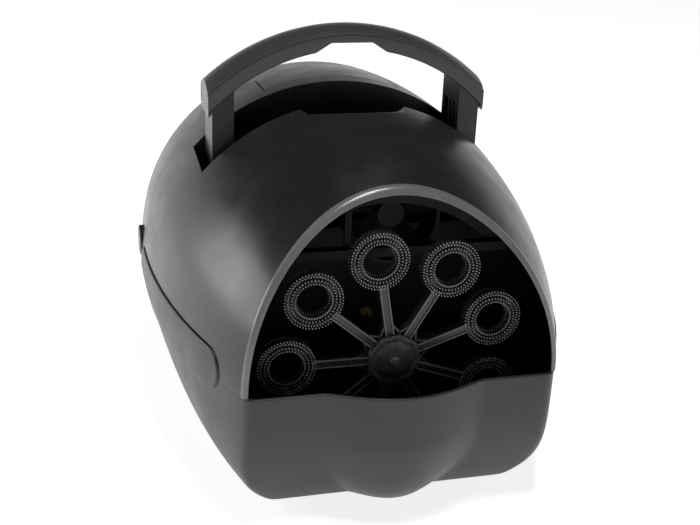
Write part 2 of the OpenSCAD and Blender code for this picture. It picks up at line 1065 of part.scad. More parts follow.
module battery_cells() {
  color("olive")
    for (i = [-1:1], j = [0, 1])
      translate([i * cell_pitch, hatch_y0 + 7, cell_z - j * cell_pitch])
        rotate([-90, 0, 0]) {
          cylinder(r = cell_r, h = cell_len - 3, $fn = 48);
          cylinder(r = 3.5, h = cell_len - 1.5, $fn = 24);
        }
}

module battery_contacts() {
  color(steel)
    for (i = [-1:1], j = [0, 1])
      translate([i * cell_pitch, hatch_y0 + 5.5, cell_z - j * cell_pitch])
        rotate([-90, 0, 0]) {
          translate([0, 0, -0.7])
            cylinder(r = 6, h = 0.8, $fn = 24);
          cylinder(r1 = 5, r2 = 3.5, h = 1.5, $fn = 24);
        }
}

module circuit_board() {
  color("darkgreen")
    difference() {
      translate([-35, board_y, panel_z0 + 2])
        cube([70, 1.6, 46]);
      board_places()
        rotate([90, 0, 0])
          cylinder(r = 1.6, h = 10, $fn = 24);
    }
}

module board_parts() {
  color(dark_grey) {
    translate([-20, board_y - 2.5, panel_z0 + 14])
      cube([14, 2.5, 9]);
    translate([4, board_y - 9, panel_z0 + 22])
      rotate([-90, 0, 0])
        cylinder(r = 5, h = 9, $fn = 32);
    translate([18, board_y - 6, panel_z0 + 12])
      cube([10, 6, 8]);
  }
}

module board_screws() {
  color(steel)
    board_places()
      translate([0, -1.6, 0])
        rotate([-90, 0, 0])
          pan_screw(8, 1.2);
}

module switch_housing() {
  color(black)
    translate([switch_x, 0, switch_z])
      difference() {
        union() {
          translate([-9.5, rear_y + 2, -13])
            cube([19, 1.2, 26]);
          translate([-7.3, rear_y - 16, -10.8])
            cube([14.6, 18 + eps, 21.6]);
        }
        translate([-6, rear_y - 6, -9.5])
          cube([12, 20, 19]);
        translate([0, rear_y + 0.2, 0])
          rotate([0, 90, 0])
            cylinder(r = 1.06, h = 13.6, center = true, $fn = 24);
      }
}

// Rocker that tips about a pin across the switch
module power_switch() {
  rock_r = 11.5;
  color("firebrick")
    translate([switch_x, rear_y + 0.2, switch_z]) {
      rotate([0, 90, 0])
        cylinder(r = 1, h = 13.2, center = true, $fn = 24);
      intersection() {
        translate([-5.6, -4.5, -8.8])
          cube([11.2, 8.1, 17.6]);
        rotate([0, 90, 0])
          cylinder(r = 8.8, h = 20, center = true, $fn = 64);
        difference() {
          translate([-10, -10, -10])
            cube([20, 20, 20]);
          translate([0, 3 + 2 * rock_r, 0])
            rotate([0, 90, 0])
              cylinder(r = 2 * rock_r, h = 30, center = true, $fn = fine);
        }
      }
    }
}

module dc_inlet() {
  color(black)
    translate([inlet_x, 0, inlet_z])
      rotate([-90, 0, 0])
        difference() {
          union() {
            translate([0, 0, rear_y - 12])
              cylinder(r = 5.9, h = 14, $fn = 32);
            translate([0, 0, rear_y + 2])
              cylinder(r = 8, h = 2, $fn = 32);
          }
          translate([0, 0, rear_y - 8])
            difference() {
              cylinder(r = 2.8, h = 20, $fn = 32);
              cylinder(r = 1.05, h = 10, $fn = 24);
            }
        }
}

module inlet_nut() {
  color(steel)
    translate([inlet_x, rear_y - wall, inlet_z])
      rotate([90, 0, 0])
        difference() {
          cylinder(r = 8, h = 3, $fn = 6);
          translate([0, 0, -1])
            cylinder(r = 5.9, h = 6, $fn = 32);
        }
}

module status_lens() {
  color("seagreen")
    translate([0, rear_y - 6, inlet_z])
      rotate([-90, 0, 0]) {
        cylinder(r = 2.5, h = 8, $fn = 32);
        translate([0, 0, 8])
          intersection() {
            sphere(r = 2.5, $fn = 32);
            cylinder(r = 3, h = 1.6, $fn = 32);
          }
      }
}

lower_housing();
upper_housing();
front_rim();
top_hatch();
rear_panel();
side_caps();
bracket_inserts();
rubber_feet();
housing_screws();
panel_screws();
inner_frame();
basin_wall();
shaft_bush();
motor_bracket();
gearbox();
gear_motor();
motor_screws();
pinion();
drive_gear();
wheel_shaft();
wand_wheel();
hub_cap();
hub_screw();
fan_housing();
fan_motor();
fan_impeller();
fan_screws();
handle_frame();
handle_grip();
grip_screws();
handle_guides();
battery_holder();
battery_cells();
battery_contacts();
circuit_board();
board_parts();
board_screws();
switch_housing();
power_switch();
dc_inlet();
inlet_nut();
status_lens();
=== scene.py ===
"""Looks of a domed bubble machine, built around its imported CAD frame. All lengths are metres."""
import json
import math

import bmesh
import bpy
import numpy as np
from mathutils import Matrix, Vector


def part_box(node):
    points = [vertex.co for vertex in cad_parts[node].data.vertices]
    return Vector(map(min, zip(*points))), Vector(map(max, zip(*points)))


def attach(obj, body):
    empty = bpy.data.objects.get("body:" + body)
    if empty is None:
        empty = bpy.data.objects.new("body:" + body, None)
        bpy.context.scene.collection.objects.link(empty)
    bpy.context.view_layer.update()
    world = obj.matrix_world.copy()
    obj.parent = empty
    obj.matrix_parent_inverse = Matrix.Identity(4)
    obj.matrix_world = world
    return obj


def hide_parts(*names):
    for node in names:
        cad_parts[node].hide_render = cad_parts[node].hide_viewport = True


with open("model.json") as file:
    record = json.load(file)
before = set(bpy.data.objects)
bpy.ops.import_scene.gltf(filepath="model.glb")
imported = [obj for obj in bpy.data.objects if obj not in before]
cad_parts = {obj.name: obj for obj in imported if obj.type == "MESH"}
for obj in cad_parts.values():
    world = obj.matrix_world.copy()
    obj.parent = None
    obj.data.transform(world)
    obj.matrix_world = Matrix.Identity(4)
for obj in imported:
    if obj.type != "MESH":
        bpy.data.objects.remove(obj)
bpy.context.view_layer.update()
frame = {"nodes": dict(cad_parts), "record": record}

MM = 0.001

# Body shape, the same ellipse of revolution as the CAD dome
DOME_R = 127 * MM
DOME_HALF = 256 * MM
DOME_Y = 48 * MM
SEAM_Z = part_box("upper_housing")[0].z
REAR_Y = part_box("upper_housing")[1].y
REAR_ROUND = 21 * MM
WALL = 2.5 * MM
CUT_R = 182 * MM
RIM_BAND = 2.6 * MM
FOOT_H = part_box("lower_housing")[0].z
FRONT_Y = -136.5 * MM
BELLY_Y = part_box("lower_housing")[0].y
FRONT_LEAN = 19 * MM
REAR_LEAN = 14 * MM
TUCK = 0.27
LEAN_POWER = 2.8
SIDE_POWER = 1.5

# Side wing
WING_Y0, WING_Y1 = -110 * MM, 62 * MM
WING_R = 12.5 * MM
WING_Z = SEAM_Z + 2.5 * MM
WING_PROUD = 1.17 * MM
GAP = 0.8 * MM

# Groove, scoop and hatch
HANDLE_Y = (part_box("handle_grip")[0].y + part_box("handle_grip")[1].y) / 2
GRIP_HALF_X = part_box("handle_grip")[1].x
GROOVE_X = GRIP_HALF_X + 5 * MM
GROOVE_Y0, GROOVE_Y1 = HANDLE_Y - 24.5 * MM, HANDLE_Y + 18.5 * MM
GROOVE_ARC_Z, GROOVE_ARC_R = 60 * MM, 125.6 * MM
HATCH_Y = (57 * MM, 88 * MM, 118 * MM)
HATCH_X = (45 * MM, 62 * MM)
HATCH_GAP = 1.1 * MM

# How far the cutters reach, clear of the wall that they cut
WING_CUT_X = (80 * MM, 140 * MM)
HATCH_CUT_Z = (150 * MM, 240 * MM)
SLOT_CUT_Z = (100 * MM, 200 * MM)
GROOVE_CUT_TOP = 300 * MM
SCOOP_CUT_TOP = 320 * MM

# Wheel
WHEEL_Y0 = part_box("wand_wheel")[0].y
HUB_Z = SEAM_Z + 4 * MM
WAND_COUNT = 9
WAND_PITCH = 62 * MM
WAND_PHASE = math.radians(20)

# Grip
GRIP_ARC_Z = 117.5 * MM
GRIP_ARC_R = 128 * MM
GRIP_DEPTH = 35 * MM
GRIP_LIP = 8 * MM
GRIP_CROWN = 4.45 * MM
LEG_X1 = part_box("handle_frame")[1].x - 1.5 * MM
LEG_X0 = LEG_X1 - 13.5 * MM
SLOT_GAP = 0.8 * MM
SLOT_HALF_Y = 16.8 * MM


# ---------- number helpers ----------

def clamp(value, low=0.0, high=1.0):
    return min(max(value, low), high)


def soft_step(t):
    """0 up to t = 0, 1 from t = 1, with a smooth rise between."""
    t = clamp(t)
    return t * t * (3 - 2 * t)


def full_turn(count, shift=0.0):
    """Equally spaced angles round a circle, moved on by a share of one step."""
    return [2 * math.pi * (k + shift) / count for k in range(count)]


def curve(start, corner, end, t):
    """Point of the quadratic curve that rounds a corner."""
    return start * (1 - t) ** 2 + corner * 2 * t * (1 - t) + end * t * t


# ---------- mesh helpers ----------

def new_object(name, verts, faces, smooth=True):
    mesh = bpy.data.meshes.new(name)
    mesh.from_pydata([tuple(v) for v in verts], [], faces)
    mesh.validate()
    mesh.update()
    obj = bpy.data.objects.new(name, mesh)
    bpy.context.scene.collection.objects.link(obj)
    if smooth:
        mesh.polygons.foreach_set("use_smooth", [True] * len(mesh.polygons))
    return obj


def tidy_mesh(obj, weld=0.004 * MM):
    """Welds doubled points, drops slivers and turns all faces outwards."""
    bm = bmesh.new()
    bm.from_mesh(obj.data)
    bmesh.ops.remove_doubles(bm, verts=bm.verts, dist=weld)
    bmesh.ops.dissolve_degenerate(bm, edges=bm.edges, dist=weld / 2)
    bmesh.ops.recalc_face_normals(bm, faces=bm.faces)
    bm.to_mesh(obj.data)
    bm.free()
    obj.data.update()


def sharpen(obj, angle=32):
    """Smooth shading, broken at edges sharper than the angle."""
    bm = bmesh.new()
    bm.from_mesh(obj.data)
    limit = math.radians(angle)
    for e in bm.edges:
        e.smooth = len(e.link_faces) == 2 and e.calc_face_angle(0) < limit
    for f in bm.faces:
        f.smooth = True
    bm.to_mesh(obj.data)
    bm.free()


def boolean(obj, cutter, operation="DIFFERENCE"):
    """Applies one exact boolean and removes the cutter."""
    mod = obj.modifiers.new("cut", "BOOLEAN")
    mod.object = cutter
    mod.operation = operation
    mod.solver = "EXACT"
    apply_modifiers(obj)
    bpy.data.objects.remove(cutter)


def apply_modifiers(obj):
    bpy.context.view_layer.update()
    dg = bpy.context.evaluated_depsgraph_get()
    mesh = bpy.data.meshes.new_from_object(obj.evaluated_get(dg))
    old = obj.data
    obj.modifiers.clear()
    obj.data = mesh
    mesh.name = obj.name
    bpy.data.meshes.remove(old)


def bevelled(obj, width, segments=2, angle=35):
    mod = obj.modifiers.new("edge", "BEVEL")
    mod.width = width
    mod.segments = segments
    mod.limit_method = "ANGLE"
    mod.angle_limit = math.radians(angle)
    mod.harden_normals = False
    apply_modifiers(obj)


def grid_faces(rows, cols, wrap=False, start=0):
    faces = []
    for i in range(rows - 1):
        for j in range(cols if wrap else cols - 1):
            a, b = start + i * cols + j, start + i * cols + (j + 1) % cols
            faces.append((a, b, b + cols, a + cols))
    return faces


def loft(name, loops):
    """Closed body through a list of closed loops with equal counts, flat at both ends."""
    count = len(loops[0])
    verts = [p for loop in loops for p in loop]
    faces = grid_faces(len(loops), count, wrap=True)
    faces.append(tuple(range(count)))
    faces.append(tuple(range(len(verts) - 1, len(verts) - count - 1, -1)))
    obj = new_object(name, verts, faces)
    tidy_mesh(obj)
    return obj


def prism(name, outline, place, length):
    """Straight body: place(u, v, t) turns outline points and a length into a point."""
    loops = [[place(u, v, t) for u, v in outline] for t in length]
    return loft(name, loops)


def joined(name, objects):
    """One object from several; the others are removed."""
    verts, faces = [], []
    for o in objects:
        base = len(verts)
        verts += [v.co.copy() for v in o.data.vertices]
        faces += [tuple(base + i for i in p.vertices) for p in o.data.polygons]
        bpy.data.objects.remove(o)
    return new_object(name, verts, faces)


def lathe_x(name, profile, side, centre, count=72):
    """Body turned round a line along X through centre (y, z), out to the given side.

    profile is (radius, distance) pairs, closed by a disc at both ends.
    """
    cy, cz = centre
    loops = []
    for r, d in profile:
        loops.append([(side * d, cy + r * math.cos(a), cz + r * math.sin(a)) for a in full_turn(count)])
    return loft(name, loops)


def finish_piece(obj, body, material, replaces=()):
    """Gives a piece its material and body, and hides the frame nodes that it stands in for."""
    obj.data.materials.clear()
    obj.data.materials.append(material)
    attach(obj, body)
    if replaces:
        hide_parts(*replaces)


# ---------- dome surface ----------

def dome_radius(y):
    """Radius of the dome at a depth, with the rounded edge at the rear."""
    y = np.asarray(y, float)
    base = DOME_R * np.sqrt(1 - ((y - DOME_Y) / DOME_HALF) ** 2)
    past = np.clip(y - (REAR_Y - REAR_ROUND), 0, REAR_ROUND)
    return base - (REAR_ROUND - np.sqrt(REAR_ROUND ** 2 - past ** 2))


def dome_normal(x, y, z):
    """Outward normal of the dome's outer surface at a point on it."""
    step = 0.05 * MM
    y = min(y, REAR_Y - step)
    slope = float(dome_radius(y + step / 2) - dome_radius(y - step / 2)) / step
    flat = Vector((x, 0, z - SEAM_Z)).normalized()
    return (flat + Vector((0, -slope, 0))).normalized()


def front_y(angle, cut_r, off=0.0, rounds=40):
    """Depth at which the surface, grown by off, meets the front cut at an angle round the dome."""
    y = FRONT_Y
    for _ in range(rounds):
        rho = float(dome_radius(y)) + off
        y = DOME_Y - math.sqrt(cut_r ** 2 - (rho * math.sin(angle)) ** 2)
    return y


def dome_point(angle, y, off=0.0):
    rho = float(dome_radius(y)) + off
    return (rho * math.cos(angle), y, SEAM_Z + rho * math.sin(angle))


def dome_stations(y0, count=70, round_count=14):
    """Depths from y0 to the rear, closer together round the rear edge."""
    straight = np.linspace(y0, REAR_Y - REAR_ROUND, count)
    turn = [REAR_Y - REAR_ROUND + REAR_ROUND * math.sin(a)
            for a in np.linspace(0, math.pi / 2, round_count + 1)[1:]]
    return list(straight) + turn


def outer_dome(cut_r):
    """Closed upper half of the dome, behind the front cut."""
    angles = np.linspace(0, math.pi, 181)
    rows = [[dome_point(a, y) for y in dome_stations(front_y(a, cut_r))] for a in angles]
    count = len(rows[0])
    verts = [p for row in rows for p in row]
    last = len(rows) - 1
    faces = grid_faces(len(rows), count)
    for i in range(last // 2):
        a, b = i * count, (i + 1) * count
        c, d = (last - i - 1) * count, (last - i) * count
        faces.append((a, b, c, d) if b != c else (a, b, d))
    there_and_back = list(range(count)) + [last * count + j for j in range(count - 1, -1, -1)]
    faces.append(tuple(there_and_back))
    faces.append(tuple(i * count + count - 1 for i in range(last + 1)))
    obj = new_object("dome", verts, faces)
    tidy_mesh(obj)
    return obj


def inner_dome():
    """Round tube that hollows the dome out, from well in front of it to the rear wall."""
    loops = []
    for y in dome_stations(-155 * MM):
        r = float(dome_radius(y)) - WALL
        d = min(y, REAR_Y - WALL)
        if loops and d <= loops[-1][0][1]:
            continue
        loops.append([(r * math.cos(a), d, SEAM_Z + r * math.sin(a))
                      for a in np.linspace(0, 2 * math.pi, 180, endpoint=False)])
    return loft("hollow", loops)


def groove_cutter(grow=0.0):
    """The groove that the lowered grip lies in, with a curved floor."""
    half = GROOVE_X + grow
    r = GROOVE_ARC_R - grow
    arc = [(x, GROOVE_ARC_Z + math.sqrt(r * r - x * x)) for x in np.linspace(-half, half, 81)]
    outline = arc + [(half, GROOVE_CUT_TOP), (-half, GROOVE_CUT_TOP)]
    return prism("groove", outline, lambda u, v, t: (u, t, v), (GROOVE_Y0 - grow, GROOVE_Y1 + grow))


def scoop_cutter(grow=0.0):
    """Shallow dish in front of the groove whose sides run out softly."""
    dish_r = 150 * MM
    dish_y = GROOVE_Y0 + 30 * MM
    dish_z = SEAM_Z + DOME_R - 12.8 * MM + dish_r
    full, soft, side_lift = 28 * MM + grow, 16 * MM, 12 * MM
    ys = np.linspace(GROOVE_Y0 - 70 * MM, GROOVE_Y0 + 8 * MM, 60)
    floor = [dish_z - math.sqrt((dish_r + grow) ** 2 - (y - dish_y) ** 2) for y in ys]
    loops = []
    for x in np.linspace(-full - soft, full + soft, 61):
        lift = side_lift * soft_step((abs(x) - full) / soft)
        row = [(x, y, z + lift) for y, z in zip(ys, floor)]
        loops.append(row + [(x, ys[-1], SCOOP_CUT_TOP), (x, ys[0], SCOOP_CUT_TOP)])
    return loft("scoop", loops)


def wing_cutter(side):
    """Opening for a side wing, with a gap all round."""
    r = WING_R + GAP
    front, rear = WING_Y0 + WING_R, WING_Y1 - WING_R
    turn = np.linspace(-math.pi / 2, math.pi / 2, 24)
    outline = [(rear + r * math.cos(a), WING_Z + r * math.sin(a)) for a in turn]
    outline += [(front - r * math.cos(a), WING_Z - r * math.sin(a)) for a in turn]
    return prism("wing_gap", outline, lambda u, v, t: (side * t, u, v), WING_CUT_X)


def hatch_outline(grow=0.0, corner=1.2 * MM):
    """T-shaped plan of the hatch with eased corners."""
    y0, y1, y2 = HATCH_Y[0] - grow, HATCH_Y[1] - grow, HATCH_Y[2] + grow
    n, w = HATCH_X[0] + grow, HATCH_X[1] + grow
    pts = [(n, y0), (n, y1), (w, y1), (w, y2), (-w, y2), (-w, y1), (-n, y1), (-n, y0)]
    out = []
    for i, p in enumerate(pts):
        a, b, c = Vector(pts[i - 1]), Vector(p), Vector(pts[(i + 1) % len(pts)])
        p0, p2 = b + (a - b).normalized() * corner, b + (c - b).normalized() * corner
        for t in (0, 0.33, 0.67, 1):
            q = curve(p0, b, p2, t)
            out.append((q.x, q.y))
    return out


def hatch_prism(grow=0.0):
    return prism("hatch_shape", hatch_outline(grow), lambda u, v, t: (u, v, t), HATCH_CUT_Z)


def on_dome(p):
    """Whether a point lies on the dome's outer surface, in front of its flat rear."""
    off = abs(math.hypot(p.x, p.z - SEAM_Z) - float(dome_radius(min(p.y, REAR_Y))))
    return p.y < REAR_Y - 0.01 * MM and off < 0.06 * MM


def shade_dome(obj, facing=0.9):
    """True normals on the outer surface, so that cuts don't disturb the reflections."""
    sharpen(obj)
    mesh = obj.data
    normals = [(0.0, 0.0, 0.0)] * len(mesh.loops)
    for poly in mesh.polygons:
        outside = all(on_dome(mesh.vertices[i].co) for i in poly.vertices)
        if outside and poly.normal.dot(dome_normal(*poly.center)) > facing:
            for li in poly.loop_indices:
                normals[li] = tuple(dome_normal(*mesh.vertices[mesh.loops[li].vertex_index].co))
    mesh.normals_split_custom_set(normals)


# ---------- casing pieces ----------

def make_dome():
    """Upper casing: hollow dome with the groove, the scoop and all its openings."""
    dome = outer_dome(CUT_R - RIM_BAND)
    hollow = inner_dome()
    boolean(hollow, groove_cutter(WALL))
    boolean(hollow, scoop_cutter(WALL))
    boolean(dome, hollow)
    boolean(dome, groove_cutter())
    boolean(dome, scoop_cutter())
    cuts = [wing_cutter(1), wing_cutter(-1), hatch_prism(HATCH_GAP), panel_cutter()]
    for side in (-1, 1):
        cuts.append(box_body("slot", side * (LEG_X0 - SLOT_GAP), side * (LEG_X1 + SLOT_GAP),
                             HANDLE_Y - SLOT_HALF_Y, HANDLE_Y + SLOT_HALF_Y, *SLOT_CUT_Z))
    boolean(dome, joined("cuts", cuts))
    tidy_mesh(dome)
    shade_dome(dome)
    return dome


def box_body(name, x0, x1, y0, y1, z0, z1):
    outline = [(x0, y0), (x1, y0), (x1, y1), (x0, y1)]
    return prism(name, outline, lambda u, v, t: (u, v, t), (z0, z1))


def panel_cutter():
    """Hole in the rear wall behind the rear panel, a circle cut off flat above the seam."""
    r, above_seam = 83 * MM, 8 * MM
    low = math.asin(above_seam / r)
    outline = [(r * math.cos(a), SEAM_Z + r * math.sin(a)) for a in np.linspace(low, math.pi - low, 90)]
    reach = (REAR_Y - WALL - 1 * MM, REAR_Y + 20 * MM)
    return prism("panel_hole", outline, lambda u, v, t: (u, t, v), reach)


def make_hatch():
    """Battery hatch: the piece of dome inside the T-shaped seam."""
    hatch = outer_dome(CUT_R - RIM_BAND)
    boolean(hatch, hatch_prism(), "INTERSECT")
    boolean(hatch, inner_dome())
    tidy_mesh(hatch)
    shade_dome(hatch)
    return hatch


def make_rim():
    """Rounded band along the dome's front edge."""
    proud, depth = 0.75 * MM, 2 * MM
    front_round, soft = 1.2 * MM, 0.5 * MM
    inner_cut = CUT_R - RIM_BAND + 0.1 * MM
    section = []
    corners = ((inner_cut, -depth), (CUT_R, -depth), (CUT_R, proud), (inner_cut, proud))
    for i, (cut, off) in enumerate(corners):
        to_front, outward = (1 if cut >= CUT_R else -1), (1 if off > 0 else -1)
        r = front_round if to_front > 0 and outward > 0 else soft
        for a in np.linspace(0, math.pi / 2, 7):
            u, v = (math.sin(a), math.cos(a)) if i in (1, 3) else (math.cos(a), math.sin(a))
            section.append((cut - to_front * r * (1 - u), off - outward * r * (1 - v)))
    loops = []
    for a in np.linspace(0, math.pi, 181):
        loops.append([dome_point(a, front_y(a, cut, off), off) for cut, off in section])
    rim = loft("front_rim_band", loops)
    sharpen(rim, 40)
    return rim


def turn_in(z, power):
    """0 at the seam, rising to 1 at the tub's floor."""
    return (max(0.0, SEAM_Z - z) / (SEAM_Z - FOOT_H)) ** power


def tub_radius(y, z):
    """Half width of the tub at a depth and height; where the body narrows, it tucks in lower down."""
    r = float(dome_radius(y))
    narrow = (DOME_R - r) / (DOME_R - float(dome_radius(FRONT_Y)))
    return r * (1 - TUCK * turn_in(z, SIDE_POWER + 4 * narrow))


def belly_at(z):
    """Half width and bulge of the belly at a height."""
    low = clamp((50 * MM - z) / (47 * MM))
    half = 24 * MM + 22 * MM * (1 - low ** 2)
    bulge = 13.5 * MM + 1.5 * MM * clamp((SEAM_Z - z) / (34 * MM))
    return half, bulge * (1 - 0.3 * low ** 6)


def tub_loop(z, inset):
    """Plan outline of the tub at a height, from the middle of the front round to the right."""
    lean = turn_in(z, LEAN_POWER)
    y0 = FRONT_Y + FRONT_LEAN * lean + inset
    y1 = REAR_Y - REAR_LEAN * lean - inset
    half, bulge = belly_at(z)
    bulge = min(bulge, y0 - BELLY_Y)
    right = []
    for t in np.linspace(0, 1, 21):
        right.append((half * t, y0 - bulge * (1 - t * t) ** 1.25))
    corner_x = tub_radius(y0, z) - inset
    tangent, lean_from = 5 * MM, 60 * MM
    for t in np.linspace(0, 1, 11)[1:]:
        right.append((half + (corner_x - tangent - half) * t, y0))
    side = Vector((tub_radius(y0 + tangent, z) - inset, y0 + tangent))
    p0, c = Vector((corner_x - tangent, y0)), Vector((corner_x, y0))
    for t in np.linspace(0, 1, 9)[1:]:
        q = curve(p0, c, side, t)
        right.append((q.x, q.y))
    for y in dome_stations(y0 + tangent, 60, 12)[1:]:
        shift = (REAR_Y - y1) * soft_step((y - lean_from) / (REAR_Y - lean_from))
        right.append((tub_radius(y, z) - inset, y - shift))
    last_x = right[-1][0]
    for t in np.linspace(0, 1, 8)[1:]:
        right.append((last_x * (1 - t), right[-1][1]))
    left = [(-x, y) for x, y in reversed(right[1:-1])]
    return [(x, y, z) for x, y in right + left]


def make_tub():
    """Lower casing: up the outside from the floor, over the lip at the seam and down the inside."""
    fillet, lip, inner_fillet = 3.5 * MM, 0.7 * MM, 3 * MM
    floor_z = FOOT_H + WALL
    loops = []
    for a in np.linspace(math.pi / 2, 0, 8):
        loops.append(tub_loop(FOOT_H + fillet * (1 - math.sin(a)), fillet * (1 - math.cos(a))))
    for z in np.linspace(FOOT_H + fillet, SEAM_Z - lip, 46)[1:]:
        loops.append(tub_loop(z, 0))
    for a in np.linspace(0, math.pi / 2, 5)[1:]:
        loops.append(tub_loop(SEAM_Z - lip * (1 - math.sin(a)), lip * (1 - math.cos(a))))
    for a in np.linspace(math.pi / 2, 0, 5):
        loops.append(tub_loop(SEAM_Z - lip * (1 - math.sin(a)), WALL - lip * (1 - math.cos(a))))
    for z in np.linspace(SEAM_Z - lip, floor_z + inner_fillet, 30)[1:]:
        loops.append(tub_loop(z, WALL))
    for a in np.linspace(0, math.pi / 2, 6)[1:]:
        z = floor_z + inner_fillet * (1 - math.sin(a))
        loops.append(tub_loop(z, WALL + inner_fillet * (1 - math.cos(a))))
    tub = loft("tub", loops)
    sharpen(tub, 50)
    return tub


def side_x(y, z):
    """Half width of the body's outside, below and above the seam."""
    if z < SEAM_Z:
        return tub_radius(y, z)
    r = float(dome_radius(y))
    return math.sqrt(max(r * r - (z - SEAM_Z) ** 2, 0))


def make_wing(side):
    """Raised strip over the seam, with a rounded outer edge."""
    rows, cols, soft = 110, 33, 1.3 * MM
    front, rear = WING_Y0 + WING_R, WING_Y1 - WING_R
    top, base = [], []
    for i in range(rows):
        y = WING_Y0 + (WING_Y1 - WING_Y0) * (1 - math.cos(math.pi * i / (rows - 1))) / 2
        past = max(front - y, y - rear, 0)
        half = math.sqrt(max(WING_R ** 2 - past ** 2, 0))
        for j in range(cols):
            z = WING_Z + half * math.sin(math.pi / 2 * (2 * j / (cols - 1) - 1))
            edge = WING_R - math.hypot(past, z - WING_Z)
            rise = math.sqrt(1 - (1 - clamp(edge / soft)) ** 2)
            x = side_x(y, z)
            top.append((side * (x + WING_PROUD * (0.35 + 0.65 * rise)), y, z))
            base.append((side * (x - WALL), y, z))
    faces = grid_faces(rows, cols) + [f[::-1] for f in grid_faces(rows, cols, start=rows * cols)]
    shift = rows * cols
    for i in range(rows - 1):
        for j in (0, cols - 1):
            a, b = i * cols + j, (i + 1) * cols + j
            faces.append((a, b, b + shift, a + shift))
    for i in (0, rows - 1):
        for j in range(cols - 1):
            a = i * cols + j
            faces.append((a, a + 1, a + 1 + shift, a + shift))
    wing = new_object("wing_" + ("right" if side > 0 else "left"), top + base, faces)
    tidy_mesh(wing)
    sharpen(wing, 50)
    return wing


def make_side_cap(side):
    """Round cap with an eased rim, a ring groove and a slightly crowned middle."""
    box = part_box("side_caps")
    cy, cz = (box[0].y + box[1].y) / 2, (box[0].z + box[1].z) / 2
    top = box[1].x
    r = (box[1].y - box[0].y) / 2
    root = 118 * MM
    profile = [(r, root), (r, top - 1.2 * MM), (r - 0.35 * MM, top - 0.4 * MM),
               (r - 1.1 * MM, top - 0.1 * MM), (r - 2.2 * MM, top),
               (r - 2.6 * MM, top - 0.5 * MM), (r - 3.1 * MM, top - 0.5 * MM),
               (r - 3.5 * MM, top - 0.05 * MM), (2.6 * MM, top - 0.02 * MM), (0.2 * MM, top)]
    return lathe_x("side_cap", profile, side, (cy, cz))


# ---------- wheel ----------

def turned(points, angle):
    """Points of the wheel's own plane turned round its axle and put in place."""
    c, s = math.cos(angle), math.sin(angle)
    return [(x * c - z * s, WHEEL_Y0 + y, HUB_Z + x * s + z * c) for x, y, z in points]


def block(points):
    """Six faces round eight points: four of one end, then the matching four of the other."""
    faces = [(0, 1, 2, 3), (7, 6, 5, 4), (0, 4, 5, 1), (1, 5, 6, 2), (2, 6, 7, 3), (3, 7, 4, 0)]
    return points, faces


def band(r0, r1, y0, y1, count=72, soft=0.25 * MM):
    """Thin ring with eased edges, about the Y axis."""
    section = [(r0 + soft, y0), (r1 - soft, y0), (r1, y0 + soft), (r1, y1 - soft),
               (r1 - soft, y1), (r0 + soft, y1), (r0, y1 - soft), (r0, y0 + soft)]
    verts, faces, n = [], [], len(section)
    for a in full_turn(count):
        verts += [(r * math.cos(a), y, r * math.sin(a)) for r, y in section]
    for k in range(count):
        for j in range(n):
            a, b = k * n + j, k * n + (j + 1) % n
            c, d = (k + 1) % count * n + (j + 1) % n, (k + 1) % count * n + j
            faces.append((a, b, c, d))
    return verts, faces


def tooth(r0, r1, y0, y1, angle, w0, w1):
    """One tapered tooth from radius r0 to its tip at r1."""
    pts = []
    for r, w, e in ((r0, w0, 0.0), (r1, w1, 0.3)):
        ease = e * (y1 - y0) / 2
        for dw, y in ((-w, y0 + ease), (w, y0 + ease), (w, y1 - ease), (-w, y1 - ease)):
            a = angle + dw / (2 * abs(r))
            pts.append((r * math.cos(a), y, r * math.sin(a)))
    return block(pts)


def wand_ring():
    """Two bands with a thin web between them, and rows of small teeth that hold the fluid."""
    outer_count, inner_count = 56, 42
    tooth_depth, tooth_root, tooth_tip = 1.5, 0.95 * MM, 0.55 * MM
    peg_length = 3 * MM
    parts = [band(14.3 * MM, 15.5 * MM, 1.9 * MM, 8.3 * MM), band(10.5 * MM, 11.7 * MM, 1.9 * MM, 8.3 * MM),
             band(11.6 * MM, 14.4 * MM, 4.2 * MM, 5.2 * MM)]
    # Tooth rows: radius at the root and tip, front face, shift, count
    rows = ((15.4, 16.9, 3.6, 0.0, outer_count), (15.4, 16.95, 6.4, 0.5, outer_count),
            (10.6, 9.2, 3.6, 0.5, inner_count), (10.6, 9.1, 6.4, 0.0, inner_count))
    for r0, r1, start, shift, count in rows:
        end = start + tooth_depth
        for angle in full_turn(count, shift):
            parts.append(tooth(r0 * MM, r1 * MM, start * MM, end * MM, angle, tooth_root, tooth_tip))
    # Peg rows: inner radius, shift, count
    for r0, shift, count in ((16.0, 0.0, outer_count), (14.35, 0.5, outer_count),
                             (12.2, 0.0, inner_count), (10.0, 0.5, inner_count)):
        for angle in full_turn(count, shift):
            parts.append(peg(r0 * MM, angle, peg_length))
    return parts


def peg(r0, angle, length):
    """Small tapered pin on a band, pointing to the front."""
    root_half = 0.47 * MM
    mid = r0 + root_half
    pts = []
    for y, half, rr in ((0.05 * MM, 0.26 * MM, 0.3 * MM), (length, 0.48 * MM, root_half)):
        for dr, dw in ((-rr, -half), (rr, -half), (rr, half), (-rr, half)):
            a = angle + dw / mid
            pts.append(((mid + dr) * math.cos(a), y, (mid + dr) * math.sin(a)))
    return block(pts)


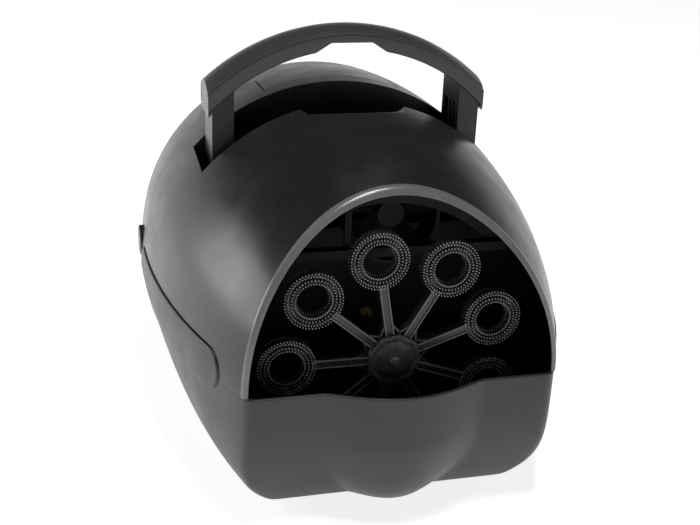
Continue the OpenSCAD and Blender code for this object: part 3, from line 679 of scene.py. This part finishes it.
def channel(x0, x1, width, y0, y1, wall, depth):
    """Straight channel section open to the front, from x0 to x1."""
    w, i = width / 2, width / 2 - wall
    ease = 0.3 * MM
    section = [(-w, y0 + ease), (-w + ease, y0), (-i, y0), (-i + ease, y0 + depth), (i - ease, y0 + depth),
               (i, y0), (w - ease, y0), (w, y0 + ease), (w, y1 - ease), (w - ease, y1), (-w + ease, y1),
               (-w, y1 - ease)]
    n = len(section)
    verts = [(x, y, z) for x in (x0, x1) for z, y in section]
    faces = [(j, (j + 1) % n, n + (j + 1) % n, n + j) for j in range(n)]
    faces += [tuple(range(n - 1, -1, -1)), tuple(range(n, 2 * n))]
    return verts, faces


def make_wheel():
    """Wand wheel: nine toothed rings on channel spokes, webs round the hub, and a stepped drum."""
    verts, faces = [], []
    spoke_from, spoke_to, spoke_width = 15 * MM, WAND_PITCH - 15 * MM, 5.4 * MM
    half = math.pi / WAND_COUNT
    web_root, web_tip, web_tip_z, web_thick = 16.6 * MM, 21.5 * MM, 2.3 * MM, 1.1 * MM

    def add(part, angle, dx=0.0):
        base = len(verts)
        pts, fs = part
        verts.extend(turned([(x + dx, y, z) for x, y, z in pts], angle))
        faces.extend(tuple(base + i for i in f) for f in fs)

    ring = wand_ring()
    for k in range(WAND_COUNT):
        angle = WAND_PHASE + 2 * math.pi * k / WAND_COUNT
        for part in ring:
            add(part, angle, WAND_PITCH)
        add(channel(spoke_from, spoke_to, spoke_width, 0.85 * MM, 7.5 * MM, 0.9 * MM, 0.9 * MM), angle)
        for sign in (-1, 1):
            inner = (web_root * math.cos(half), web_root * math.sin(half) * sign)
            outer = (web_tip, web_tip_z * sign)
            add(wall_between(inner, outer, web_thick, 1.4 * MM, 7 * MM), angle)
    add(drum(15.6 * MM, 1.3 * MM, 8 * MM), 0)
    add(drum(7 * MM, 7.5 * MM, 17 * MM), 0)
    wheel = new_object("wand_wheel_toothed", verts, faces)
    bm = bmesh.new()
    bm.from_mesh(wheel.data)
    bmesh.ops.recalc_face_normals(bm, faces=bm.faces)
    bm.to_mesh(wheel.data)
    bm.free()
    sharpen(wheel, 38)
    return wheel


def wall_between(a, b, thick, y0, y1):
    """Upright wall between two points (x, z) of the wheel's plane."""
    (x0, z0), (x1, z1) = a, b
    length = math.hypot(x1 - x0, z1 - z0)
    nx, nz = -(z1 - z0) / length * thick / 2, (x1 - x0) / length * thick / 2
    pts = []
    for y in (y0, y1):
        pts += [(x0 + nx, y, z0 + nz), (x1 + nx, y, z1 + nz), (x1 - nx, y, z1 - nz), (x0 - nx, y, z0 - nz)]
    return block(pts)


def drum(r, y0, y1, count=72, ease=0.5 * MM):
    """Solid cylinder about the Y axis with eased edges."""
    section = ((r - ease, y0), (r, y0 + ease), (r, y1 - ease), (r - ease, y1))
    verts = []
    for rad, y in section:
        verts += [(rad * math.cos(a), y, rad * math.sin(a)) for a in full_turn(count)]
    faces = grid_faces(len(section), count, wrap=True)
    faces += [tuple(range(count)), tuple(range(len(verts) - 1, len(verts) - count - 1, -1))]
    return verts, faces


def make_hub_cap():
    """Flat disc whose rim bulges between the spokes, with a shallow ring groove in its face."""
    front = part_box("hub_cap")[0].y
    turns = full_turn(WAND_COUNT * 24)
    disc_r, bulge_at, bulge_r = 15.4 * MM, 13.2 * MM, 3 * MM

    def edge(a):
        step = 2 * math.pi / WAND_COUNT
        off = (a - WAND_PHASE) % step - step / 2
        side = bulge_at * math.sin(off)
        if abs(side) >= bulge_r:
            return disc_r
        return max(disc_r, bulge_at * math.cos(off) + math.sqrt(bulge_r ** 2 - side ** 2))

    # Distance in from the edge and depth behind the face, in mm
    profile = ((0, 1.2), (0, 0.45), (0.25, 0.12), (0.7, 0.0), (3.2, 0.0), (3.5, 0.22), (3.9, 0.22),
               (4.3, 0.0), (9.0, 0.04), (13.2, 0.0))
    loops = []
    for shrink, depth in profile:
        radii = [edge(a) - shrink * MM for a in turns]
        loops.append([(r * math.cos(a), front + depth * MM, HUB_Z + r * math.sin(a))
                      for r, a in zip(radii, turns)])
    cap = loft("hub_disc", loops)
    sharpen(cap, 45)
    return cap


# ---------- handle ----------

def notch_z(x):
    """Lowest height that the grip's underside may reach, raised round the middle of its span."""
    flat, slope, drop = 13 * MM, 11 * MM, 7 * MM
    if abs(x) >= flat + slope:
        return 0
    return GRIP_ARC_Z + GRIP_ARC_R - 4 * MM - drop * clamp((abs(x) - flat) / slope)


def make_grip():
    """Grip cover: a channel with a crowned top, a fine groove by its front edge and closed ends."""
    half = GRIP_DEPTH / 2
    hollow, roof = 16 * MM, -2 * MM
    top, lip = 0.0, -GRIP_LIP
    crown_y = np.linspace(-half + 2.4 * MM, half - 1.2 * MM, 25)
    crown = [(y, GRIP_CROWN * (1 - (y / half) ** 2)) for y in crown_y]
    section = [(-half, lip + 0.4 * MM), (-half, top - 0.7 * MM), (-half + 0.2 * MM, top - 0.15 * MM),
               (-half + 0.6 * MM, top + 0.05 * MM), (-half + 1.3 * MM, top + 0.1 * MM),
               (-half + 1.5 * MM, top - 0.6 * MM), (-half + 2.1 * MM, top - 0.6 * MM)]
    section += crown
    section += [(half - 0.5 * MM, top - 0.05 * MM), (half, top - 0.7 * MM), (half, lip + 0.4 * MM),
                (half - 0.4 * MM, lip), (hollow, lip), (hollow, roof), (-hollow, roof), (-hollow, lip),
                (-half + 0.4 * MM, lip)]
    loops = []
    for x in np.linspace(-GRIP_HALF_X, GRIP_HALF_X, 141):
        loop = []
        for y, rise in section:
            r = GRIP_ARC_R + rise
            z = GRIP_ARC_Z + math.sqrt(r * r - x * x)
            if rise < roof:
                z = max(z, notch_z(x))
            loop.append((x, HANDLE_Y + y, z))
        loops.append(loop)
    body = loft("grip_channel", loops)
    end_half, end_low, end_high = half - 0.3 * MM, lip - 1.5 * MM, -1 * MM
    corners = ((-end_half, end_low), (end_half, end_low), (end_half, end_high), (-end_half, end_high))
    ends = []
    for side in (-1, 1):
        faces = []
        for x in (GRIP_HALF_X - 2 * MM, GRIP_HALF_X - 0.15 * MM):
            faces.append([(side * x, HANDLE_Y + y, GRIP_ARC_Z + math.sqrt((GRIP_ARC_R + rise) ** 2 - x * x))
                          for y, rise in corners])
        ends.append(loft("end", faces))
    grip = joined("grip_cover", [body] + ends)
    sharpen(grip, 35)
    return grip


def make_leg_ribs():
    """Upright ribs in the pockets on the legs' inner sides."""
    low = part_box("handle_frame")[0].z
    pitch, half_thick = 6.5 * MM, 0.8 * MM
    ribs = []
    for side in (-1, 1):
        for y in (HANDLE_Y - pitch, HANDLE_Y, HANDLE_Y + pitch):
            ribs.append(box_body("rib", side * (LEG_X0 + 1.2 * MM), side * (LEG_X1 - 3.5 * MM),
                                 y - half_thick, y + half_thick, low + 12.5 * MM, low + 87.5 * MM))
    obj = joined("leg_ribs", ribs)
    tidy_mesh(obj)
    bevelled(obj, 0.3 * MM)
    sharpen(obj)
    return obj


# ---------- materials ----------

# Painted glint: pale colour of the wands' front ends, standing in for glints of light on them
PAINTED_GLINT_TIP = (0.42, 0.42, 0.43, 1)


class Nodes:
    """Small helper to build a shader from named nodes."""

    def __init__(self, name):
        self.material = bpy.data.materials.new(name)
        self.material.use_nodes = True
        self.tree = self.material.node_tree
        self.shader = self.tree.nodes["Principled BSDF"]
        self.coords = self.tree.nodes.new("ShaderNodeTexCoord").outputs["Object"]

    def add(self, kind, inputs=None, **settings):
        node = self.tree.nodes.new(kind)
        for key, value in settings.items():
            setattr(node, key, value)
        for key, value in (inputs or {}).items():
            self.feed(value, node.inputs[key])
        return node

    def feed(self, value, socket):
        if isinstance(value, bpy.types.NodeSocket):
            self.tree.links.new(value, socket)
        else:
            socket.default_value = value

    def noise(self, scale, detail=2.0, rough=0.5, stretch=None):
        coords = self.coords
        if stretch:
            mapping = self.add("ShaderNodeMapping", {"Vector": coords})
            mapping.inputs["Scale"].default_value = stretch
            coords = mapping.outputs["Vector"]
        node = self.add("ShaderNodeTexNoise", {"Vector": coords, "Scale": scale, "Detail": detail,
                                               "Roughness": rough})
        return node.outputs["Fac"]

    def span(self, value, low, high, start=0.3, end=0.7):
        node = self.add("ShaderNodeMapRange", {"Value": value, "From Min": start, "From Max": end,
                                               "To Min": low, "To Max": high})
        return node.outputs["Result"]

    def blend(self, factor, a, b):
        node = self.add("ShaderNodeMix", data_type="RGBA")
        self.feed(factor, node.inputs[0])
        self.feed(a, node.inputs[6])
        self.feed(b, node.inputs[7])
        return node.outputs[2]

    def wear_and_highlight_edges(self, radius):
        """0 on flat stretches, rising towards 1 on sharp edges."""
        bevel = self.add("ShaderNodeBevel", {"Radius": radius}, samples=4)
        normal = self.add("ShaderNodeNewGeometry").outputs["Normal"]
        dot = self.add("ShaderNodeVectorMath", operation="DOT_PRODUCT")
        self.feed(bevel.outputs[0], dot.inputs[0])
        self.feed(normal, dot.inputs[1])
        return self.span(dot.outputs["Value"], 1.0, 0.0, 0.6, 0.95)

    def bump(self, height, strength, distance, normal=None):
        inputs = {"Height": height, "Strength": strength, "Distance": distance}
        if normal is not None:
            inputs["Normal"] = normal
        return self.add("ShaderNodeBump", inputs).outputs["Normal"]


def tone(base, factor, lift=0.0):
    """The base colour, darker or paler, as RGBA."""
    return tuple(min(1, c * factor + lift) for c in base) + (1,)


def moulded(name, base, rough, grain=1400, grain_depth=0.03, edge=0.35, wear_and_highlight=0.35, stretch=None, lift=0.03,
            tip=None, specular=0.5):
    """Moulded plastic: fine texture, slightly uneven colour and sheen, and edges painted paler.

    grain is the texture's scale, and stretch multiplies it along each axis. grain_depth and edge, the
    texture's depth and the edges' radius, are in mm. The paler edges are partly wear and partly painted
    highlight: wear_and_highlight is how strongly they show, and lift how much paler they are. tip is the
    depth behind which a pale front end, a painted glint, fades out.
    """
    m = Nodes(name)
    m.shader.inputs["Specular IOR Level"].default_value = specular
    tint = m.span(m.noise(22, 4), 0.0, 1.0)
    colour = m.blend(tint, tone(base, 0.82), tone(base, 1.18))
    # Painted highlight: edges turn paler, partly as wear and mostly standing in for highlights along them
    edge_wear_and_highlight = m.wear_and_highlight_edges(edge * MM * 1.3)
    edge_breakup = m.span(m.noise(420, 3), 0.2, 1.0, 0.4, 0.65)
    mask = m.add("ShaderNodeMath", {0: edge_wear_and_highlight, 1: edge_breakup}, operation="MULTIPLY").outputs[0]
    amount = m.add("ShaderNodeMath", {0: mask, 1: wear_and_highlight}, operation="MULTIPLY").outputs[0]
    colour = m.blend(amount, colour, tone(base, 2.2, lift))
    if tip is not None:
        # Painted glint: the front end turns pale, standing in for glints of light on it
        depth = m.add("ShaderNodeSeparateXYZ", {0: m.coords}).outputs["Y"]
        near = m.span(depth, 1.0, 0.0, tip, tip + 1.2 * MM)
        colour = m.blend(near, colour, PAINTED_GLINT_TIP)
    m.feed(colour, m.shader.inputs["Base Color"])
    sheen = m.span(m.noise(45, 5, 0.6), rough - 0.05, rough + 0.06)
    m.feed(sheen, m.shader.inputs["Roughness"])
    rounded = m.add("ShaderNodeBevel", {"Radius": edge * MM}, samples=4).outputs[0]
    fine = m.noise(grain, 3, 0.65, stretch)
    normal = m.bump(fine, 0.35, grain_depth * MM, rounded)
    m.feed(normal, m.shader.inputs["Normal"])
    return m.material


def brushed(name, base, rough, stretch=(30, 900, 900)):
    """Metal with fine directional scratches and uneven dulling."""
    m = Nodes(name)
    tint = m.span(m.noise(60, 4), 0.0, 1.0)
    m.feed(m.blend(tint, tone(base, 0.85), tone(base, 1)), m.shader.inputs["Base Color"])
    m.shader.inputs["Metallic"].default_value = 1.0
    lines = m.noise(1.0, 3, 0.6, stretch)
    m.feed(m.span(lines, rough - 0.07, rough + 0.1), m.shader.inputs["Roughness"])
    rounded = m.add("ShaderNodeBevel", {"Radius": 0.25 * MM}, samples=4).outputs[0]
    m.feed(m.bump(lines, 0.2, 0.01 * MM, rounded), m.shader.inputs["Normal"])
    return m.material


def mottled(name, base, rough):
    """Flat plastic with cloudy paler patches, as on the wheel's hub."""
    m = Nodes(name)
    clouds = m.span(m.noise(170, 4, 0.65), 0.0, 1.0, 0.42, 0.62)
    m.feed(m.blend(clouds, tone(base, 0.55), tone(base, 1.35)), m.shader.inputs["Base Color"])
    m.feed(m.span(m.noise(300, 3), rough - 0.1, rough + 0.12), m.shader.inputs["Roughness"])
    rounded = m.add("ShaderNodeBevel", {"Radius": 0.3 * MM}, samples=4).outputs[0]
    m.feed(m.bump(clouds, 0.4, 0.05 * MM, rounded), m.shader.inputs["Normal"])
    return m.material


def board_laminate(name):
    """Green circuit board with faint tracks under its mask."""
    m = Nodes(name)
    tracks = m.add("ShaderNodeTexVoronoi", {"Vector": m.coords, "Scale": 420.0}, distance="MANHATTAN")
    line = m.span(tracks.outputs["Distance"], 0.0, 1.0, 0.3, 0.5)
    m.feed(m.blend(line, (0.01, 0.1, 0.045, 1), (0.02, 0.2, 0.08, 1)), m.shader.inputs["Base Color"])
    m.feed(m.bump(line, 0.3, 0.03 * MM), m.shader.inputs["Normal"])
    m.shader.inputs["Roughness"].default_value = 0.3
    return m.material


# The frame's slots by name, and grip_lit_plastic, a paler copy of the handle's plastic for the grip alone;
# the pale grip and the darker legs are painted light and painted shade on one material
MATERIALS = {
    # Painted highlight: on the dome and the tub, strongly paler edges stand in for bright highlights along
    # them
    "dome_plastic": moulded("dome_plastic", (0.014, 0.014, 0.0145), 0.3, 1500, 0.03, 0.45, 0.8, lift=0.1),
    "tub_plastic": moulded("tub_plastic", (0.02, 0.02, 0.0205), 0.4, 1300, 0.03, 0.45, 0.8, lift=0.14),
    # Painted highlight: the rim's pale grey stands in for the bright line of light along the dome's front
    # edge
    "rim_plastic": moulded("rim_plastic", (0.16, 0.16, 0.162), 0.2, 1800, 0.015, 0.3, 0.4),
    # Painted shade: the legs' plastic is darker than the grip's copy, standing in for the shade on the
    # legs' faces
    "handle_plastic": moulded("handle_plastic", (0.011, 0.011, 0.0115), 0.4, 1.0, 0.09, 0.3, 0.4,
                              stretch=(40, 1500, 40)),
    "grip_lit_plastic": moulded("grip_lit_plastic", (0.05, 0.05, 0.051), 0.34, 1.0, 0.12, 0.3, 0.5,
                         stretch=(30, 1400, 30), lift=0.12),
    # Painted shade: the inner parts are darker than the casing, standing in for the shade inside the body
    "inner_plastic": moulded("inner_plastic", (0.006, 0.006, 0.0063), 0.5, 900, 0.03, 0.3, 0.25,
                             specular=0.2),
    "panel_plastic": moulded("panel_plastic", (0.03, 0.03, 0.031), 0.5, 1100, 0.06, 0.35, 0.3),
    # Painted highlights: paler edges and a pale front end on the wand rings stand in for glints on the
    # teeth
    "wand_plastic": moulded("wand_plastic", (0.024, 0.024, 0.025), 0.26, 1600, 0.015, 0.2, 0.8, lift=0.2,
                            tip=WHEEL_Y0),
    "hub_plastic": mottled("hub_plastic", (0.03, 0.03, 0.031), 0.5),
    "gear_plastic": moulded("gear_plastic", (0.78, 0.75, 0.66), 0.42, 800, 0.02, 0.3, 0.1),
    "rocker_plastic": moulded("rocker_plastic", (0.42, 0.03, 0.02), 0.28, 900, 0.01, 0.4, 0.15),
    "steel": brushed("steel", (0.6, 0.61, 0.63), 0.28),
    "brass": brushed("brass", (0.34, 0.29, 0.15), 0.3, (900, 40, 900)),
    "rubber": moulded("rubber", (0.02, 0.02, 0.02), 0.75, 700, 0.08, 0.5, 0.2),
    "cell_sleeve": moulded("cell_sleeve", (0.07, 0.09, 0.08), 0.3, 200, 0.01, 0.4, 0.1),
    "board": board_laminate("board"),
    "lens": moulded("lens", (0.06, 0.32, 0.12), 0.12, 300, 0.005, 0.2, 0.05),
}


# ---------- build ----------

finish_piece(make_dome(), "body", MATERIALS["dome_plastic"], ("upper_housing",))
hatch_lid = make_hatch()
finish_piece(hatch_lid, "hatch", MATERIALS["dome_plastic"], ("top_hatch",))
hatch_lid.name = "hatch_lid"
finish_piece(make_rim(), "body", MATERIALS["rim_plastic"], ("front_rim",))
finish_piece(make_tub(), "body", MATERIALS["tub_plastic"], ("lower_housing",))
for side in (-1, 1):
    finish_piece(make_wing(side), "body", MATERIALS["tub_plastic"])
caps = joined("bracket_caps", [make_side_cap(-1), make_side_cap(1)])
tidy_mesh(caps)
sharpen(caps, 30)
finish_piece(caps, "body", MATERIALS["dome_plastic"], ("side_caps",))
finish_piece(make_wheel(), "wheel", MATERIALS["wand_plastic"], ("wand_wheel",))
finish_piece(make_hub_cap(), "wheel", MATERIALS["hub_plastic"], ("hub_cap",))
finish_piece(make_grip(), "handle", MATERIALS["grip_lit_plastic"], ("handle_grip",))
finish_piece(make_leg_ribs(), "handle", MATERIALS["handle_plastic"])

# Every frame node gets its slot's material, also the ones that keep their CAD shape
for entry in frame["record"]["subparts"]:
    node = frame["nodes"][entry["node"]]
    node.data.materials.clear()
    node.data.materials.append(MATERIALS[entry["material_slot"]])


# ---------- stage ----------

def make_floor():
    """Wide pale floor that glows a little, so that it stays white up to the horizon."""
    size = 6.0
    floor = new_object("floor", [(-size, -size, 0), (size, -size, 0), (size, size, 0), (-size, size, 0)],
                       [(0, 1, 2, 3)])
    m = Nodes("floor_white")
    m.shader.inputs["Base Color"].default_value = (0.86, 0.86, 0.86, 1)
    m.shader.inputs["Roughness"].default_value = 0.8
    m.shader.inputs["Emission Color"].default_value = (1, 1, 1, 1)
    m.shader.inputs["Emission Strength"].default_value = 0.8
    floor.data.materials.append(m.material)


def area_light(name, place, aim, size, power):
    light = bpy.data.lights.new(name, "AREA")
    light.shape = "RECTANGLE"
    light.size, light.size_y = size
    light.energy = power
    obj = bpy.data.objects.new(name, light)
    obj.location = place
    obj.rotation_euler = (Vector(aim) - Vector(place)).to_track_quat("-Z", "Y").to_euler()
    bpy.context.scene.collection.objects.link(obj)


def make_world():
    """Bright round the horizon and dim overhead, like a white sweep under studio lamps."""
    world = bpy.data.worlds.new("studio")
    world.use_nodes = True
    tree = world.node_tree
    back = tree.nodes["Background"]
    coords = tree.nodes.new("ShaderNodeTexCoord")
    split = tree.nodes.new("ShaderNodeSeparateXYZ")
    ramp = tree.nodes.new("ShaderNodeValToRGB")
    tree.links.new(coords.outputs["Generated"], split.inputs[0])
    tree.links.new(split.outputs["Z"], ramp.inputs[0])
    for stop, height, grey in zip(ramp.color_ramp.elements, (0.07, 0.34), (1, 0.05)):
        stop.position = height
        stop.color = (grey, grey, grey, 1)
    tree.links.new(ramp.outputs[0], back.inputs[0])
    back.inputs[1].default_value = 0.9
    bpy.context.scene.world = world


def make_camera():
    """Camera at the photograph's angle; its place and turn were fitted to the object's outline."""
    data = bpy.data.cameras.new("camera")
    data.sensor_width = 36
    data.lens = 58.11
    data.clip_start = 0.01
    cam = bpy.data.objects.new("camera", data)
    bpy.context.scene.collection.objects.link(cam)
    right = Vector((0.96818, -0.24711, 0.03970))
    up = Vector((0.06097, 0.38670, 0.92018))
    back = right.cross(up)
    matrix = Matrix((right, up, back)).transposed().to_4x4()
    matrix.translation = (-0.1770, -0.6559, 0.3867)
    cam.matrix_world = matrix
    bpy.context.scene.camera = cam


make_floor()
make_world()
area_light("left_softbox", (-1.25, 0.55, 0.45), (0, 0, 0.12), (0.75, 0.6), 7)
area_light("top_softbox", (0.1, -0.1, 1.6), (0, -0.05, 0.1), (0.5, 0.25), 11)
make_camera()
bpy.context.scene.view_settings.view_transform = "Standard"
